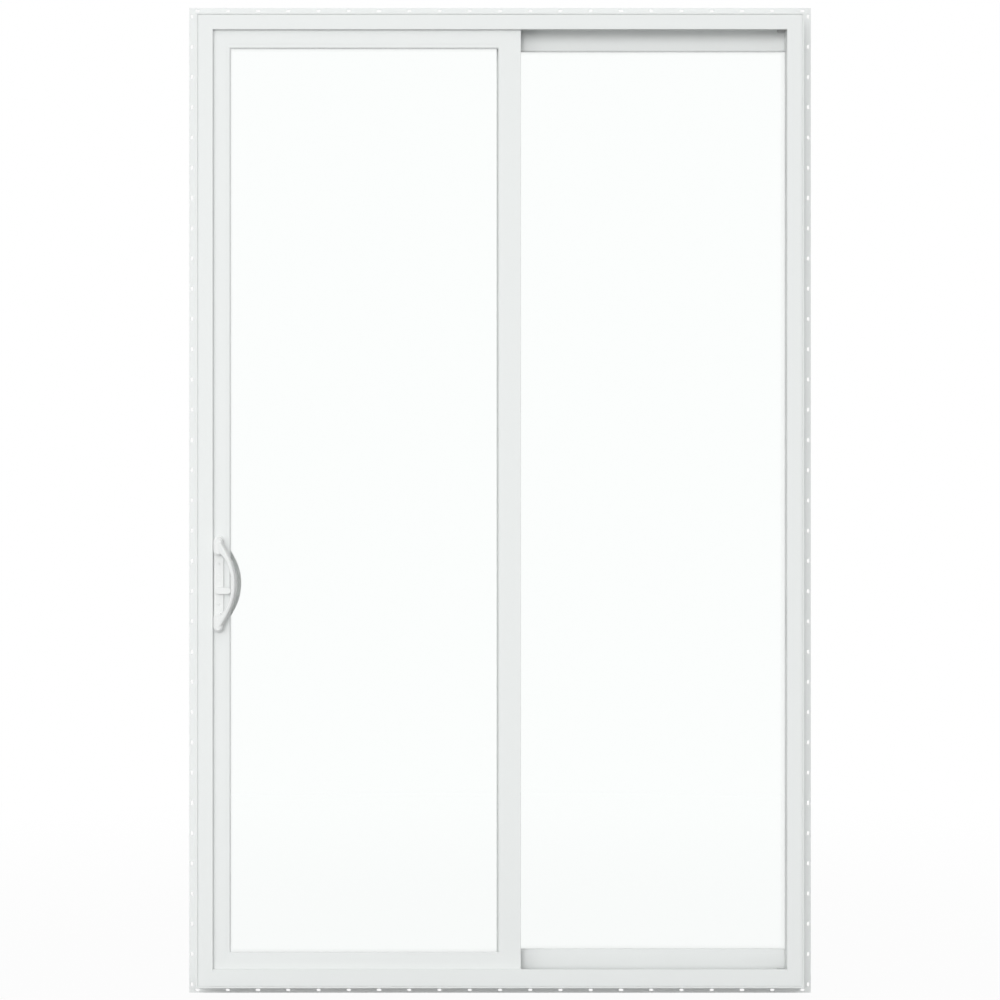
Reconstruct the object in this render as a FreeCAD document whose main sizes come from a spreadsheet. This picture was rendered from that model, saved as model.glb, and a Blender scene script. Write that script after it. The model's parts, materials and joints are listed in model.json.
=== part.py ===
import FreeCAD, Part
import os
import Sketcher

# Sliding glass patio door in its frame, seen from the room.
# X runs to the right along the wall, Y out through the wall, Z up.
# The origin is at the middle of the sill's underside, on the plane where the nailing fin meets the wall.

DRIVING_SIZES = [
    ("frame_width", 1511.3, "frame over both jambs, fins left out"),
    ("frame_height", 2425.7, "frame over sill and head, fins left out"),
    ("frame_depth", 116.0, "frame from room side to outside"),
    ("fin_setback", 88.0, "room side of the frame to the wall face of the fin"),
    ("frame_base", 20.0, "thickness of the frame's outer wall"),
    ("frame_face", 42.1, "width of the frame's face in the room"),
    ("sill_face", 47.0, "width of the sill's face in the room"),
    ("front_leg", 5.0, "thickness of the room side leg"),
    ("leg_round", 1.0, "bevel of the room side leg's edges"),
    ("trim_groove_place", 4.0, "frame's outer face to the groove in its room side"),
    ("trim_groove_width", 2.2, "width of that groove"),
    ("trim_groove_depth", 3.5, "depth of that groove"),
    ("track_clearance", 5.0, "room side leg to sliding panel"),
    ("panel_thickness", 38.0, "thickness of both panels"),
    ("panel_gap", 8.0, "sliding panel to fixed panel"),
    ("retaining_leg", 2.0, "thickness of the leg between the tracks"),
    ("retaining_reach", 34.0, "reach of the legs behind the room side leg"),
    ("screen_lip", 5.0, "outer leg to the screen groove"),
    ("screen_groove", 8.0, "width of the screen groove"),
    ("screen_depth", 12.0, "depth of the screen groove"),
    ("fin_projection", 27.5, "reach of the nailing fin past the frame"),
    ("fin_thickness", 2.0, "thickness of the nailing fin"),
    ("fin_heel", 10.0, "depth of the fin's heel along the frame"),
    ("fin_heel_wall", 1.5, "thickness of that heel"),
    ("slot_pitch", 76.2, "nail slots, centre to centre"),
    ("slot_length", 12.0, "nail slot, end to end"),
    ("slot_width", 6.0, "nail slot, side to side"),
    ("slot_edge", 7.0, "nail slot centre to the fin's outer edge"),
    ("slot_bevel_inset", 0.05, "plain nail slot inside a round-ended one"),
    ("screw_slots_near", 4, "middle of head and sill to the inner screw slots, in pitches"),
    ("screw_slots_far", 8, "middle of head and sill to the outer screw slots, in pitches"),
    ("screw_slots_side", 10, "middle of a jamb to its screw slots, in pitches"),
    ("stile_width", 56.5, "stiles and rails of the sliding panel"),
    ("sash_inset_side", 28.15, "frame's outer face to the lock stile"),
    ("sash_inset_height", 31.5, "frame's outer face to the rails of the sliding panel"),
    ("meeting_overlap", 52.0, "middle of the door to the sliding panel's right edge"),
    ("fixed_meeting_edge", 8.5, "middle of the door to the fixed panel's left edge"),
    ("fixed_seat", 0.3, "fixed panel to the frame's outer wall"),
    ("fixed_stile_width", 20.35, "fixed stile held in the jamb"),
    ("bead_width", 11.0, "glazing bead, over the glass"),
    ("bead_slope", 2.5, "slope of the glazing bead"),
    ("bead_setback", 0.6, "glazing bead behind the stile's face"),
    ("glass_bite", 10.5, "cover of the bead over the glass"),
    ("glass_edge_gap", 2.0, "edge of the glass to the pocket's floor"),
    ("glass_front", 9.5, "room side of the panel to the glass"),
    ("pane_thickness", 4.0, "each pane"),
    ("pane_space", 11.0, "between the panes"),
    ("spacer_width", 6.5, "spacer bar between the panes"),
    ("lip_relief", 4.5, "outer lip behind the bead's edge"),
    ("outer_edge_bevel", 0.8, "bevel of a stile's outer edges"),
    ("cut_margin", 1.0, "reach of a cutting outline past its piece"),
    ("hook_wall", 1.6, "thickness of the interlock hooks"),
    ("hook_reach", 8.0, "reach of the interlock hooks"),
    ("hook_clearance", 1.6, "clearance in the interlock"),
    ("hook_end_gap", 48.0, "frame's outer face to the end of a hook"),
    ("hook_leg_x", 8.0, "middle of the door to the fixed hook's leg"),
    ("roller_rail_width", 20.0, "foot of the roller rail"),
    ("roller_rail_foot", 1.6, "thickness of that foot"),
    ("roller_rail_web", 3.0, "thickness of the rail's web"),
    ("roller_rail_height", 7.0, "height of the roller rail"),
    ("wheel_radius", 16.0, "roller wheel over its flanges"),
    ("wheel_groove", 2.0, "depth of the wheel's groove"),
    ("wheel_width", 8.0, "width of the wheel"),
    ("wheel_groove_width", 4.0, "width of the wheel's groove"),
    ("wheel_axle_radius", 3.0, "radius of the wheel's axle"),
    ("wheel_running_gap", 0.3, "wheel to rail, and wheel to axle"),
    ("wheel_end_distance", 130.0, "panel's edge to the wheel's axle"),
    ("roller_box_length", 46.0, "roller housing along the rail"),
    ("roller_box_width", 14.0, "roller housing across the rail"),
    ("roller_box_height", 34.0, "roller housing, height"),
    ("roller_box_wall", 1.5, "wall of the roller housing"),
    ("notch_play", 1.0, "play of the jamb cover's notch over the roller rail"),
    ("bumper_length", 14.0, "height of a bumper"),
    ("bumper_width", 24.0, "width of a bumper"),
    ("bumper_thickness", 21.0, "thickness of a bumper"),
    ("bumper_place", 35.0, "frame's outer face to the middle of a bumper"),
    ("seal_width", 5.5, "width of the pile seal"),
    ("seal_cover", 0.5, "pile seal behind the leg's edge"),
    ("seal_running_gap", 0.4, "pile seal to the sliding panel"),
    ("handle_height", 1004.5, "sill to the handle's middle"),
    ("plate_inset", 15.5, "lock stile's edge to the handle's plate"),
    ("plate_width", 25.0, "handle plate, width"),
    ("plate_length", 242.0, "handle plate, length"),
    ("plate_thickness", 5.0, "handle plate, thickness"),
    ("plate_bevel", 1.5, "bevel of the handle plate's edge"),
    ("foot_spacing", 189.0, "feet of the grip, centre to centre"),
    ("foot_width", 23.0, "foot of the grip, width"),
    ("foot_length", 46.0, "foot of the grip, length"),
    ("foot_height", 21.0, "foot of the grip, height over the plate"),
    ("foot_bevel", 4.0, "bevel of a foot's edge"),
    ("grip_rise", 48.3, "rise of the grip's arch over its feet"),
    ("grip_tilt", 30.0, "arch of the grip out of the door's plane, degrees"),
    ("grip_start", 12.0, "plate to the start of the arch"),
    ("grip_width", 14.0, "grip across"),
    ("grip_depth", 9.0, "grip through"),
    ("grip_bevel", 2.5, "bevel along the grip's edges"),
    ("grip_waist_share", 0.45, "share of the arch where the grip starts to widen"),
    ("grip_waist_growth", 1.1, "grip there, times its depth in the middle"),
    ("grip_flare_share", 0.78, "share of the arch where the grip flares"),
    ("grip_flare_growth", 1.7, "grip there, times its depth in the middle"),
    ("grip_end_width", 17.0, "grip across, in its foot"),
    ("grip_end_depth", 30.0, "grip through, in its foot"),
    ("latch_drop", 16.5, "handle's middle to the thumb turn"),
    ("latch_radius", 8.5, "thumb turn's hub and tab, radius"),
    ("latch_hub_depth", 9.0, "thumb turn's hub, depth"),
    ("latch_reach", 22.8, "thumb turn's hub to its tab, centre to centre"),
    ("latch_lever_thickness", 5.0, "thumb turn's lever, thickness"),
    ("latch_bevel", 1.2, "bevel of the thumb turn's edges"),
    ("latch_spindle_side", 4.2, "thumb turn's square spindle, side"),
    ("latch_spindle_depth", 16.0, "stile's face to the end of the spindle"),
    ("latch_clearance", 0.3, "thumb turn to its plate and bore"),
    ("cylinder_radius", 9.0, "key cylinder, radius"),
    ("cylinder_height", 3.0, "key cylinder over the outside plate"),
    ("keyway_width", 2.0, "keyway, width"),
    ("keyway_length", 9.0, "keyway, length"),
    ("keyway_depth", 2.5, "keyway, depth"),
    ("faceplate_length", 140.0, "lock faceplate, length"),
    ("faceplate_width", 18.0, "lock faceplate, width"),
    ("faceplate_thickness", 1.5, "lock faceplate, thickness"),
    ("keeper_length", 90.0, "keeper on the jamb, length"),
    ("keeper_width", 22.0, "keeper on the jamb, width"),
    ("keeper_thickness", 1.5, "keeper on the jamb, thickness"),
    ("bolt_hole_length", 44.0, "hook bolt's hole, length"),
    ("bolt_hole_width", 8.0, "hook bolt's hole, width"),
]

SAME_PLACE = 0.01
FULL_TURN = 360
HALF_TURN = 180

doc = FreeCAD.newDocument("PatioDoor")
sheet = doc.addObject("Spreadsheet::Sheet", "Sizes")
for row, (name, value, note) in enumerate(DRIVING_SIZES, start=1):
    sheet.set(f"A{row}", name)
    sheet.set(f"B{row}", str(value))
    sheet.set(f"C{row}", note)
    sheet.setAlias(f"B{row}", name)
doc.recompute()


# Places along Y, from the room outwards

FRONT = "(-Sizes.fin_setback)"
LEG_BACK = f"({FRONT} + Sizes.front_leg)"
SASH_FRONT = f"({LEG_BACK} + Sizes.track_clearance)"
SASH_BACK = f"({SASH_FRONT} + Sizes.panel_thickness)"
FIXED_FRONT = f"({SASH_BACK} + Sizes.panel_gap)"
FIXED_BACK = f"({FIXED_FRONT} + Sizes.panel_thickness)"
BACK = f"({FRONT} + Sizes.frame_depth)"

# Outer rectangles of the frame and of both panels: left, right, bottom, top

FRAME_BOX = (
    "(-Sizes.frame_width / 2)",
    "(Sizes.frame_width / 2)",
    "0",
    "Sizes.frame_height",
)
SASH_BOX = (
    "(-Sizes.frame_width / 2 + Sizes.sash_inset_side)",
    "Sizes.meeting_overlap",
    "Sizes.sash_inset_height",
    "(Sizes.frame_height - Sizes.sash_inset_height)",
)
FIXED_BOX = (
    "(-Sizes.fixed_meeting_edge)",
    "(Sizes.frame_width / 2 - Sizes.frame_base - Sizes.fixed_seat)",
    "(Sizes.frame_base + Sizes.fixed_seat)",
    "(Sizes.frame_height - Sizes.frame_base - Sizes.fixed_seat)",
)
FIXED_RAIL = "(Sizes.sash_inset_height + Sizes.stile_width - Sizes.frame_base - Sizes.fixed_seat)"
SIDES = ("left", "right", "bottom", "top")
FACES = {
    "left": "Sizes.frame_face",
    "right": "Sizes.frame_face",
    "bottom": "Sizes.sill_face",
    "top": "Sizes.frame_face",
}


def number(expression):
    """Value of an expression over the sheet."""
    value = sheet.evalExpression(expression)
    return float(getattr(value, "Value", value))


def inset(box, side, distance):
    """Place of a line that lies a distance inside one side of a rectangle."""
    sign = "+" if side in ("left", "bottom") else "-"
    return f"({box[SIDES.index(side)]} {sign} ({distance}))"


# Bodies, sketches and features

def new_body(label):
    body = doc.addObject("PartDesign::Body", label)
    body.Label = label
    return body


def origin_plane(body, role):
    return next(o for o in body.Origin.OriginFeatures if o.Role == role)


def new_sketch(body, name, plane, offset="0"):
    """Empty sketch on one of the body's own planes, moved along the plane's normal."""
    sketch = body.newObject("Sketcher::SketchObject", name)
    sketch.AttachmentSupport = [(origin_plane(body, plane), "")]
    sketch.MapMode = "FlatFace"
    if offset != "0":
        sketch.setExpression("AttachmentOffset.Base.z", offset)
        doc.recompute()
    return sketch


def hold_point(sketch, geometry, point, across, up):
    """Ties a point of a sketch to two expressions, measured from the sketch's origin."""
    for kind, expression, axis in (("DistanceX", across, -2), ("DistanceY", up, -1)):
        if expression == "0":
            sketch.addConstraint(Sketcher.Constraint("PointOnObject", geometry, point, axis))
            continue
        value = number(expression)
        index = sketch.addConstraint(Sketcher.Constraint(kind, -1, 1, geometry, point, value))
        sketch.setExpression(f"Constraints[{index}]", expression)


def add_outline(sketch, corners):
    """Closed outline of straight lines whose corners follow their expressions."""
    places = [FreeCAD.Vector(number(across), number(up), 0) for across, up in corners]
    first = sketch.GeometryCount
    count = len(places)
    for i in range(count):
        sketch.addGeometry(Part.LineSegment(places[i], places[(i + 1) % count]), False)
    for i in range(count):
        end, start = first + i, first + (i + 1) % count
        sketch.addConstraint(Sketcher.Constraint("Coincident", end, 2, start, 1))
    for i, (across, up) in enumerate(corners):
        hold_point(sketch, first + i, 1, across, up)


def add_pointed_slot(sketch, across, up, upright):
    """Plain nail slot: six straight sides that lie just inside a round-ended slot."""
    reach = "((Sizes.slot_length - Sizes.slot_width) / 2)"
    radius = "(Sizes.slot_width / 2 - Sizes.slot_bevel_inset)"
    tip = f"({reach} + {radius})"
    corners = []
    for along, beside in ((f"-{reach}", f"-{radius}"), (f"+{reach}", f"-{radius}"), (f"+{tip}", ""),
                          (f"+{reach}", f"+{radius}"), (f"-{reach}", f"+{radius}"), (f"-{tip}", "")):
        if upright:
            corners.append((f"({across} {beside})", f"({up} {along})"))
        else:
            corners.append((f"({across} {along})", f"({up} {beside})"))
    add_outline(sketch, corners)


def add_circle(sketch, across, up, radius):
    centre = FreeCAD.Vector(number(across), number(up), 0)
    circle = Part.Circle(centre, FreeCAD.Vector(0, 0, 1), number(radius))
    index = sketch.addGeometry(circle, False)
    hold_point(sketch, index, 3, across, up)
    held = sketch.addConstraint(Sketcher.Constraint("Radius", index, number(radius)))
    sketch.setExpression(f"Constraints[{held}]", radius)


def add_slot(sketch, across, up, length, width, upright):
    """Slot with round ends, centred on a point, lying or upright."""
    radius = f"({width} / 2)"
    reach = f"(({length} - {width}) / 2)"
    ends = []
    for sign in ("-", "+"):
        if upright:
            ends.append((across, f"({up} {sign} {reach})"))
        else:
            ends.append((f"({across} {sign} {reach})", up))
    r = number(radius)
    normal = FreeCAD.Vector(0, 0, 1)
    a, b = (FreeCAD.Vector(number(x), number(y), 0) for x, y in ends)
    side = FreeCAD.Vector(r, 0, 0) if upright else FreeCAD.Vector(0, -r, 0)
    turn = HALF_TURN if upright else HALF_TURN / 2
    arcs = []
    for centre, start in ((a, turn), (b, turn + HALF_TURN)):
        circle = Part.Circle(centre, normal, r)
        from_angle, to_angle = (FreeCAD.Units.Quantity(f"{s} deg").getValueAs("rad").Value
                                for s in (start, start + HALF_TURN))
        arcs.append(sketch.addGeometry(Part.ArcOfCircle(circle, from_angle, to_angle), False))
    near = sketch.addGeometry(Part.LineSegment(a + side, b + side), False)
    far = sketch.addGeometry(Part.LineSegment(b - side, a - side), False)
    for arc, arc_point, line, line_point in (
        (arcs[0], 2, near, 1), (near, 2, arcs[1], 1), (arcs[1], 2, far, 1), (far, 2, arcs[0], 1)
    ):
        sketch.addConstraint(Sketcher.Constraint("Tangent", arc, arc_point, line, line_point))
    for arc, (x, y) in zip(arcs, ends):
        hold_point(sketch, arc, 3, x, y)
    sketch.addConstraint(Sketcher.Constraint("Equal", arcs[0], arcs[1]))
    held = sketch.addConstraint(Sketcher.Constraint("Radius", arcs[0], r))
    sketch.setExpression(f"Constraints[{held}]", radius)


def pad(body, sketch, name, length):
    feature = body.newObject("PartDesign::Pad", name)
    feature.Profile = sketch
    feature.setExpression("Length", length)
    body.Tip = feature
    return feature


def pocket(body, sketch, name, length=None):
    """Cuts from the sketch against its normal, through everything where no length is given,
    and tests that it cut."""
    doc.recompute()
    before = body.Shape.Volume
    feature = body.newObject("PartDesign::Pocket", name)
    feature.Profile = sketch
    if length:
        feature.setExpression("Length", length)
    else:
        feature.Type = "ThroughAll"
    body.Tip = feature
    doc.recompute()
    if body.Shape.Volume >= before:
        raise RuntimeError(f"{name} cuts nothing")
    return feature


def wall_slab(body, name, corners, near, far, inner=None):
    """Pad of an outline drawn on the wall's plane, from one Y to a larger one."""
    sketch = new_sketch(body, f"{name}_outline", "XZ_Plane", f"(-({far}))")
    add_outline(sketch, corners)
    if inner:
        add_outline(sketch, inner)
    return pad(body, sketch, name, f"({far}) - ({near})")


def rectangle(left, right, bottom, top):
    return [(left, bottom), (right, bottom), (right, top), (left, top)]


def plan_pad(body, name, corners, bottom, top):
    """Pad of an outline drawn in plan, upwards from one Z to another."""
    sketch = new_sketch(body, f"{name}_outline", "XY_Plane", bottom)
    add_outline(sketch, corners)
    pad(body, sketch, name, f"({top}) - ({bottom})")


def section_pad(body, name, corners, left, right):
    """Pad of an outline drawn across the wall, from one X to another."""
    sketch = new_sketch(body, f"{name}_outline", "YZ_Plane", left)
    add_outline(sketch, corners)
    pad(body, sketch, name, f"({right}) - ({left})")


def edges_in_plane(shape, y):
    """Names of the edges that lie wholly at one Y."""
    found = []
    for i, edge in enumerate(shape.Edges, start=1):
        bounds = edge.BoundBox
        if abs(bounds.YMin - y) < SAME_PLACE and abs(bounds.YMax - y) < SAME_PLACE:
            found.append(f"Edge{i}")
    return found


def bevel(body, name, y, size):
    """Bevels the edges of a body's last feature that lie at one Y."""
    doc.recompute()
    tip = body.Tip
    slope = body.newObject("PartDesign::Chamfer", name)
    slope.Base = (tip, edges_in_plane(tip.Shape, number(y)))
    slope.setExpression("Size", size)
    body.Tip = slope
    doc.recompute()


def slot_slab(body, name, places, length, width, near, far):
    """Upright round-ended pads centred on places of the wall's plane, from one Y to a larger one."""
    sketch = new_sketch(body, f"{name}_outline", "XZ_Plane", f"(-({far}))")
    for across, up in places:
        add_slot(sketch, across, up, length, width, True)
    pad(body, sketch, name, f"({far}) - ({near})")


def around(middle, width):
    """Both ends of a width about a middle."""
    return f"({middle} - {width} / 2)", f"({middle} + {width} / 2)"


def round_slab(body, name, across, up, radius, near, far):
    """Round pad centred on a place of the wall's plane, from one Y to a larger one."""
    sketch = new_sketch(body, f"{name}_outline", "XZ_Plane", f"(-({far}))")
    add_circle(sketch, across, up, radius)
    pad(body, sketch, name, f"({far}) - ({near})")


def bevelled_section(middle, width, depth):
    """Eight-sided outline: a bar's depth about a middle, and its width about the axis."""
    near, far = around(middle, depth)
    low, high = around("0", width)
    cut = "Sizes.grip_bevel"
    return [(f"({near} + {cut})", low), (f"({far} - {cut})", low), (far, f"({low} + {cut})"),
            (far, f"({high} - {cut})"), (f"({far} - {cut})", high), (f"({near} + {cut})", high),
            (near, f"({high} - {cut})"), (near, f"({low} + {cut})")]


def arched_bar(body, name, foot, middle, tilt, rise, half_span, stations):
    """Bar of bevelled section, bent in an arch from one foot to the other. The arch leans
    from the door's plane towards the room by the tilt. Each station is a share of the arch
    from its middle to a foot, with the bar's width and depth there."""
    radius = f"((({half_span}) ^ 2 + ({rise}) ^ 2) / (2 * {rise}))"
    chord = f"({radius} - {rise})"
    centre = f"vector({foot[0]} - {chord} * cos({tilt}); {foot[1]} + {chord} * sin({tilt}); {middle})"
    lean = f"rotation(vector(0; 0; 1); -({tilt}))"
    sections = []
    both = [(f"(-{share})", w, d) for share, w, d in reversed(stations[1:])]
    both += [(share, w, d) for share, w, d in stations]
    for count, (share, width, depth) in enumerate(both):
        sketch = new_sketch(body, f"{name}_section_{count}", "XY_Plane")
        swing = f"rotation(vector(sin({tilt}); cos({tilt}); 0); -({share}) * asin({half_span} / {radius}))"
        sketch.setExpression("AttachmentOffset", f"placement({centre}; {swing} * {lean})")
        doc.recompute()
        add_outline(sketch, bevelled_section(radius, width, depth))
        sections.append(sketch)
    bar = body.newObject("PartDesign::AdditiveLoft", name)
    bar.Profile = sections[0]
    bar.Sections = sections[1:]
    bar.Ruled = False
    body.Tip = bar
    doc.recompute()


def extrusion(body, side, box, section):
    """Length of extrusion along one side of a rectangle. The section's points are
    (distance inside that side, Y)."""
    left, right, bottom, top = box
    if side in ("left", "right"):
        plan_pad(body, "extrusion", [(inset(box, side, u), y) for u, y in section], bottom, top)
    else:
        section_pad(body, "extrusion", [(y, inset(box, side, u)) for u, y in section], left, right)


def mitre(body, side, box, reach, own):
    """Cuts both ends of an extrusion at 45 degrees, to meet its neighbours. What it has
    beyond their reach is cut square."""
    sketch = new_sketch(body, "mitre_outline", "XZ_Plane", "Sizes.frame_depth")
    past = f"({own} + Sizes.cut_margin)"
    for end in ("bottom", "top") if side in ("left", "right") else ("left", "right"):
        corners = [("0", "0"), (reach, reach), (reach, past), ("0", past)]
        if side in ("left", "right"):
            add_outline(sketch, [(inset(box, side, u), inset(box, end, v)) for v, u in corners])
        else:
            add_outline(sketch, [(inset(box, end, v), inset(box, side, u)) for v, u in corners])
    pocket(body, sketch, "mitre")


def stepped_mitre(body, side, box, widths):
    """Mitre from the opening's corner between a narrow stile and a wide rail. The rail
    runs on under the stile's foot."""
    sketch = new_sketch(body, "mitre_outline", "XZ_Plane", "Sizes.frame_depth")
    upright = side in ("left", "right")
    past = "-Sizes.cut_margin"
    for end in ("bottom", "top") if upright else ("left", "right"):
        stile, rail = (side, end) if upright else (end, side)
        step = f"({widths[rail]} - {widths[stile]})"
        outer = (inset(box, stile, past), inset(box, rail, f"({step} - Sizes.cut_margin)"))
        inner = (inset(box, stile, f"({widths[stile]} + Sizes.cut_margin)"),
                 inset(box, rail, f"({widths[rail]} + Sizes.cut_margin)"))
        if upright:
            corners = [outer, inner, (inner[0], inset(box, rail, past)), (outer[0], inset(box, rail, past))]
        else:
            corners = [outer, inner, (outer[0], inner[1])]
        add_outline(sketch, corners)
    pocket(body, sketch, "mitre")


# Frame: four welded lengths of one extrusion, with three legs round both tracks

def frame_section(face):
    base = "Sizes.frame_base"
    reach = "Sizes.retaining_reach"
    groove_front = f"({FIXED_BACK} + Sizes.screen_lip)"
    groove_back = f"({groove_front} + Sizes.screen_groove)"
    groove_floor = f"({reach} - Sizes.screen_depth)"
    trim_inner = "(Sizes.trim_groove_place + Sizes.trim_groove_width)"
    trim_floor = f"({FRONT} + Sizes.trim_groove_depth)"
    return [
        ("0", f"({FRONT} + Sizes.leg_round)"),
        ("Sizes.leg_round", FRONT),
        ("Sizes.trim_groove_place", FRONT),
        ("Sizes.trim_groove_place", trim_floor),
        (trim_inner, trim_floor),
        (trim_inner, FRONT),
        (f"({face} - Sizes.leg_round)", FRONT),
        (face, f"({FRONT} + Sizes.leg_round)"),
        (face, LEG_BACK),
        (base, LEG_BACK),
        (base, f"({FIXED_FRONT} - Sizes.retaining_leg)"),
        (reach, f"({FIXED_FRONT} - Sizes.retaining_leg)"),
        (reach, FIXED_FRONT),
        (base, FIXED_FRONT),
        (base, FIXED_BACK),
        (reach, FIXED_BACK),
        (reach, groove_front),
        (groove_floor, groove_front),
        (groove_floor, groove_back),
        (reach, groove_back),
        (reach, BACK),
        ("0", BACK),
    ]


def build_frame():
    labels = {"left": "frame_jamb_left", "right": "frame_jamb_right",
              "bottom": "frame_sill", "top": "frame_head"}
    for side, label in labels.items():
        body = new_body(label)
        extrusion(body, side, FRAME_BOX, frame_section(FACES[side]))
        mitre(body, side, FRAME_BOX, "Sizes.frame_face", FACES[side])
        parts.append(body)


# Nailing fin: a slotted angle on each side, mitred at the corners

def fin_strip(side, outer, inner):
    """Mitred strip along one side, between two distances outside the frame."""
    ends = ("bottom", "top") if side in ("left", "right") else ("left", "right")
    corners = []
    for distance, order in ((outer, ends), (inner, ends[::-1])):
        for end in order:
            along, across = inset(FRAME_BOX, end, f"-({distance})"), inset(FRAME_BOX, side, f"-({distance})")
            corners.append((across, along) if side in ("left", "right") else (along, across))
    return corners


def build_fin(side):
    body = new_body(f"nail_fin_{side}")
    upright = side in ("left", "right")
    wall_slab(body, "flange", fin_strip(side, "Sizes.fin_projection", "0"), "0", "Sizes.fin_thickness")
    wall_slab(body, "heel", fin_strip(side, "Sizes.fin_heel_wall", "0"), "0", "Sizes.fin_heel")
    frame_length = "Sizes.frame_height" if upright else "Sizes.frame_width"
    room = f"({frame_length} / 2 + Sizes.fin_projection - Sizes.slot_edge - Sizes.slot_length / 2)"
    half_count = f"floor({room} / Sizes.slot_pitch)"
    line = inset(FRAME_BOX, side, "-(Sizes.fin_projection - Sizes.slot_edge)")

    def place(pitches):
        along = f"({pitches} * Sizes.slot_pitch)"
        return (line, f"(Sizes.frame_height / 2 + {along})") if upright else (along, line)

    sketch = new_sketch(body, "slot_outline", "XZ_Plane")
    add_pointed_slot(sketch, *place(f"-{half_count}"), upright)
    cut = pocket(body, sketch, "slot")
    row = body.newObject("PartDesign::LinearPattern", "slot_row")
    row.Originals = [cut]
    row.Direction = (sketch, ["V_Axis" if upright else "H_Axis"])
    row.setExpression("Length", f"2 * {half_count} * Sizes.slot_pitch")
    row.setExpression("Occurrences", f"2 * {half_count} + 1")
    body.Tip = row
    screw_sketch = new_sketch(body, "screw_slot_outline", "XZ_Plane")
    counts = ["Sizes.screw_slots_side"] if upright else ["Sizes.screw_slots_near", "Sizes.screw_slots_far"]
    for count in counts:
        for sign in ("-", "+"):
            add_slot(screw_sketch, *place(f"{sign}{count}"), "Sizes.slot_length", "Sizes.slot_width", upright)
    pocket(body, screw_sketch, "screw_slots")
    parts.append(body)


# Panels: stiles, rails, bead, panes and spacer

def panel_section(width, front):
    """Stile or rail: outer wall, seat for the bead, pocket for the glass, outer lip."""
    bead_seat = f"({width} - Sizes.bead_width)"
    pocket_floor = f"({width} - Sizes.glass_bite - Sizes.glass_edge_gap)"
    glass_front = f"({front} + Sizes.glass_front)"
    glass_back = f"({glass_front} + 2 * Sizes.pane_thickness + Sizes.pane_space)"
    back = f"({front} + Sizes.panel_thickness)"
    lip = f"({width} - Sizes.lip_relief)"
    bevel = "Sizes.outer_edge_bevel"
    return [
        ("0", f"({front} + {bevel})"),
        (bevel, front),
        (bead_seat, front),
        (bead_seat, glass_front),
        (pocket_floor, glass_front),
        (pocket_floor, glass_back),
        (lip, glass_back),
        (lip, f"({back} - Sizes.bead_slope)"),
        (f"({lip} - Sizes.bead_slope)", back),
        (bevel, back),
        ("0", f"({back} - {bevel})"),
    ]


def opening(box, widths, grow="0"):
    """Rectangle inside a panel's stiles and rails, grown by a distance on all sides."""
    return rectangle(*(inset(box, side, f"{width} - ({grow})") for side, width in zip(SIDES, widths)))


def build_panes(prefix, box, widths, front):
    """Sealed glass unit: two panes and the spacer bar between them."""
    glass_front = f"({front} + Sizes.glass_front)"
    space_front = f"({glass_front} + Sizes.pane_thickness)"
    space_back = f"({space_front} + Sizes.pane_space)"
    glass_back = f"({space_back} + Sizes.pane_thickness)"
    outline = opening(box, widths, "Sizes.glass_bite")
    for label, near, far in (("inner", glass_front, space_front), ("outer", space_back, glass_back)):
        body = new_body(f"{prefix}_pane_{label}")
        wall_slab(body, "pane", outline, near, far)
        parts.append(body)
    body = new_body(f"{prefix}_glass_spacer")
    hole = opening(box, widths, "Sizes.glass_bite - Sizes.spacer_width")
    wall_slab(body, "spacer", outline, space_front, space_back, hole)
    parts.append(body)


def build_bead(prefix, box, widths, front):
    """Glazing bead: one mitred ring with a sloped inner edge."""
    body = new_body(f"{prefix}_glazing_bead")
    near = f"({front} + Sizes.bead_setback)"
    far = f"({front} + Sizes.glass_front)"
    ring = wall_slab(body, "bead", opening(box, widths, "Sizes.bead_width"), near, far, opening(box, widths))
    doc.recompute()
    left, right, bottom, top = (number(inset(box, side, width)) for side, width in zip(SIDES, widths))
    edges = []
    for name in edges_in_plane(ring.Shape, number(near)):
        middle = ring.Shape.getElement(name).CenterOfMass
        inside_x = left - SAME_PLACE < middle.x < right + SAME_PLACE
        inside_z = bottom - SAME_PLACE < middle.z < top + SAME_PLACE
        if inside_x and inside_z:
            edges.append(name)
    slope = body.newObject("PartDesign::Chamfer", "bead_slope")
    slope.Base = (ring, edges)
    slope.setExpression("Size", "Sizes.bead_slope")
    body.Tip = slope
    parts.append(body)


def build_sliding_panel():
    widths = ["Sizes.stile_width"] * 4
    labels = {"left": "sliding_lock_stile", "right": "sliding_meeting_stile",
              "bottom": "sliding_bottom_rail", "top": "sliding_top_rail"}
    for side, label in labels.items():
        body = new_body(label)
        extrusion(body, side, SASH_BOX, panel_section("Sizes.stile_width", SASH_FRONT))
        mitre(body, side, SASH_BOX, "Sizes.stile_width", "Sizes.stile_width")
        if side == "bottom":
            cut_roller_pockets(body)
        if side == "left":
            cut_latch_bore(body, SASH_FRONT, "Sizes.latch_spindle_depth + Sizes.cut_margin")
        parts.append(body)
    build_bead("sliding", SASH_BOX, widths, SASH_FRONT)
    build_panes("sliding", SASH_BOX, widths, SASH_FRONT)


def build_fixed_panel():
    widths = ["Sizes.stile_width", "Sizes.fixed_stile_width", FIXED_RAIL, FIXED_RAIL]
    labels = {"left": "fixed_meeting_stile", "right": "fixed_jamb_stile",
              "bottom": "fixed_bottom_rail", "top": "fixed_top_rail"}
    for side, width in zip(SIDES, widths):
        body = new_body(labels[side])
        extrusion(body, side, FIXED_BOX, panel_section(width, FIXED_FRONT))
        stepped_mitre(body, side, FIXED_BOX, dict(zip(SIDES, widths)))
        parts.append(body)
    build_bead("fixed", FIXED_BOX, widths, FIXED_FRONT)
    build_panes("fixed", FIXED_BOX, widths, FIXED_FRONT)


# Interlock: two hooks that catch each other where the panels meet

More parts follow.
